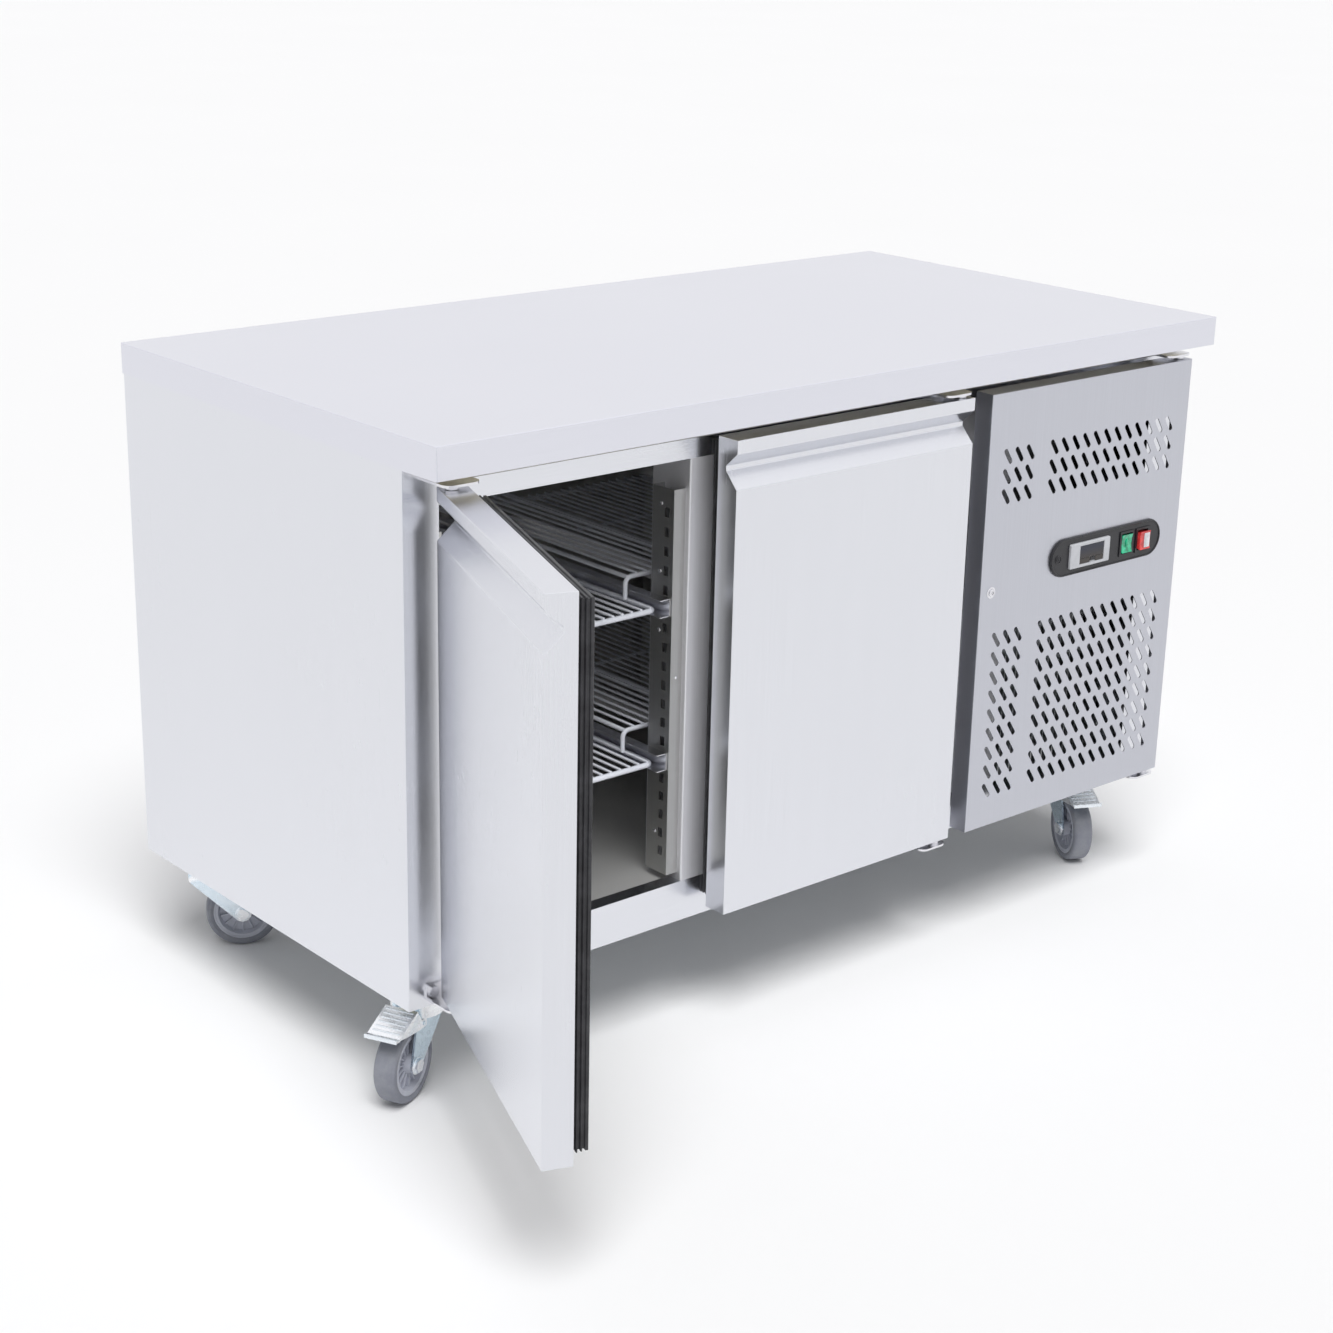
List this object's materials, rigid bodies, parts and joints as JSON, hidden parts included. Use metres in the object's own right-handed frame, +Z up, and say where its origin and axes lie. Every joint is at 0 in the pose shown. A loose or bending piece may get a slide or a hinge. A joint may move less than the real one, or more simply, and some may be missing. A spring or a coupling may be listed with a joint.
{
  "type": "undercounter refrigerator",
  "caption": "Stainless undercounter refrigerator with hinged doors, wire shelves, a service panel with controls, and swivel casters.",
  "frame": {"origin": "on the floor, under the middle of the worktop", "axes": "+X to the right seen from the front, -Y out of the doors, +Z up"},
  "size_m": [1.4807, 1.061, 0.85],
  "materials": {
    "stainless": "brushed",
    "galvanised": "satin",
    "zinc_plate": "satin",
    "foam": "matte",
    "coated_wire": "satin",
    "fins": "satin",
    "black_paint": "gloss",
    "copper": "satin",
    "black_plastic": "satin",
    "silver_plastic": "satin",
    "green_plastic": "gloss",
    "red_plastic": "gloss",
    "grey_plastic": "satin",
    "grey_rubber": "matte",
    "seal_rubber": "matte"
  },
  "bodies": {
    "cabinet": {"worktop": "stainless", "left_side_panel": "stainless", "right_side_panel": "stainless", "back_panel": "stainless", "base_panel": "galvanised", "top_rail": "stainless", "bottom_rail": "stainless", "door_posts": "stainless", "inner_liner": "stainless", "insulation": "foam", "shelf_pilasters": "stainless", "shelf_runners": "stainless", "bridge_shelves": "coated_wire", "evaporator_cover": "stainless", "evaporator_coil": "fins", "condenser_coil": "fins", "condenser_shroud": "galvanised", "fan_motors": "black_paint", "compressor": "black_paint", "refrigerant_pipes": "copper", "junction_box": "black_plastic", "cable_gland": "black_plastic", "hinge_brackets": "stainless", "hinge_pins": "stainless", "caster_plates": "zinc_plate", "fasteners": "stainless"},
    "left_door": {"left_door_skin": "stainless", "left_door_core": "foam", "left_door_inner_panel": "stainless", "left_door_gasket": "seal_rubber"},
    "right_door": {"right_door_skin": "stainless", "right_door_core": "foam", "right_door_inner_panel": "stainless", "right_door_gasket": "seal_rubber"},
    "service_door": {"service_panel": "stainless", "control_plate": "black_plastic", "thermostat_case": "silver_plastic"},
    "set_key": {"thermostat_key": "black_plastic"},
    "green_switch": {"green_rocker": "green_plastic"},
    "red_switch": {"red_rocker": "red_plastic"},
    "left_upper": {"left_upper_shelf": "coated_wire"},
    "left_lower": {"left_lower_shelf": "coated_wire"},
    "right_upper": {"right_upper_shelf": "coated_wire"},
    "right_lower": {"right_lower_shelf": "coated_wire"},
    "evaporator_rotor": {"evaporator_fan": "fins"},
    "condenser_rotor": {"condenser_fan": "fins"},
    "front_left_caster": {"front_left_fork": "zinc_plate"},
    "front_left_wheel": {"front_left_hub": "grey_plastic", "front_left_tyre": "grey_rubber"},
    "front_left_brake": {"front_left_pedal": "zinc_plate"},
    "front_right_caster": {"front_right_fork": "zinc_plate"},
    "front_right_wheel": {"front_right_hub": "grey_plastic", "front_right_tyre": "grey_rubber"},
    "front_right_brake": {"front_right_pedal": "zinc_plate"},
    "back_left_caster": {"back_left_fork": "zinc_plate"},
    "back_left_wheel": {"back_left_hub": "grey_plastic", "back_left_tyre": "grey_rubber"},
    "back_right_caster": {"back_right_fork": "zinc_plate"},
    "back_right_wheel": {"back_right_hub": "grey_plastic", "back_right_tyre": "grey_rubber"}
  },
  "joints": [
    {"name": "left_door_hinge", "type": "hinge", "parent": "cabinet", "child": "left_door", "pos_m": [-0.641, -0.325, 0.479], "axis": [0, 0, -1], "range_deg": [-111.2, 4]},
    {"name": "right_door_hinge", "type": "hinge", "parent": "cabinet", "child": "right_door", "pos_m": [0.178, -0.325, 0.479], "axis": [0, 0, 1], "range_deg": [0, 112]},
    {"name": "service_door_hinge", "type": "hinge", "parent": "cabinet", "child": "service_door", "pos_m": [0.633, -0.325, 0.478], "axis": [0, 0, 1], "range_deg": [0, 100]},
    {"name": "set_key_press", "type": "slide", "parent": "service_door", "child": "set_key", "axis": [0, 1, 0], "range_m": [0, 0.001], "stiffness_N_per_m": 400},
    {"name": "green_switch_rock", "type": "hinge", "parent": "service_door", "child": "green_switch", "pos_m": [0.527, -0.336, 0.5385], "axis": [1, 0, 0], "range_deg": [-7, 7]},
    {"name": "red_switch_rock", "type": "hinge", "parent": "service_door", "child": "red_switch", "pos_m": [0.562, -0.336, 0.5385], "axis": [1, 0, 0], "range_deg": [-7, 7]},
    {"name": "left_upper_slide", "type": "slide", "parent": "cabinet", "child": "left_upper", "axis": [0, -1, 0], "range_m": [0, 0.4]},
    {"name": "left_lower_slide", "type": "slide", "parent": "cabinet", "child": "left_lower", "axis": [0, -1, 0], "range_m": [0, 0.4]},
    {"name": "right_upper_slide", "type": "slide", "parent": "cabinet", "child": "right_upper", "axis": [0, -1, 0], "range_m": [0, 0.02]},
    {"name": "right_lower_slide", "type": "slide", "parent": "cabinet", "child": "right_lower", "axis": [0, -1, 0], "range_m": [0, 0.02]},
    {"name": "evaporator_fan_spin", "type": "hinge", "parent": "cabinet", "child": "evaporator_rotor", "pos_m": [0.185, 0.04, 0.61], "axis": [1, 0, 0], "continuous": true},
    {"name": "condenser_fan_spin", "type": "hinge", "parent": "cabinet", "child": "condenser_rotor", "pos_m": [0.51, -0.155, 0.295], "axis": [0, 1, 0], "continuous": true},
    {"name": "front_left_swivel", "type": "hinge", "parent": "cabinet", "child": "front_left_caster", "pos_m": [-0.62, -0.215, 0.125], "axis": [0, 0, 1], "continuous": true},
    {"name": "front_left_roll", "type": "hinge", "parent": "front_left_caster", "child": "front_left_wheel", "pos_m": [-0.65415, -0.23166, 0.05], "axis": [0.4384, -0.8988, 0], "continuous": true},
    {"name": "front_left_brake_press", "type": "hinge", "parent": "front_left_caster", "child": "front_left_brake", "pos_m": [-0.64157, -0.22552, 0.1015], "axis": [0.4384, -0.8988, 0], "range_deg": [0, 9]},
    {"name": "front_right_swivel", "type": "hinge", "parent": "cabinet", "child": "front_right_caster", "pos_m": [0.604, -0.203, 0.125], "axis": [0, 0, 1], "continuous": true},
    {"name": "front_right_roll", "type": "hinge", "parent": "front_right_caster", "child": "front_right_wheel", "pos_m": [0.58675, -0.23686, 0.05], "axis": [0.891, -0.454, 0], "continuous": true},
    {"name": "front_right_brake_press", "type": "hinge", "parent": "front_right_caster", "child": "front_right_brake", "pos_m": [0.5931, -0.22438, 0.1015], "axis": [0.891, -0.454, 0], "range_deg": [0, 9]},
    {"name": "back_left_swivel", "type": "hinge", "parent": "cabinet", "child": "back_left_caster", "pos_m": [-0.606, 0.299, 0.125], "axis": [0, 0, 1], "continuous": true},
    {"name": "back_left_roll", "type": "hinge", "parent": "back_left_caster", "child": "back_left_wheel", "pos_m": [-0.57309, 0.28, 0.05], "axis": [0.5, 0.866, 0], "continuous": true},
    {"name": "back_right_swivel", "type": "hinge", "parent": "cabinet", "child": "back_right_caster", "pos_m": [0.606, 0.299, 0.125], "axis": [0, 0, 1], "continuous": true},
    {"name": "back_right_roll", "type": "hinge", "parent": "back_right_caster", "child": "back_right_wheel", "pos_m": [0.57156, 0.28294, 0.05], "axis": [0.4226, -0.9063, 0], "continuous": true}
  ]
}
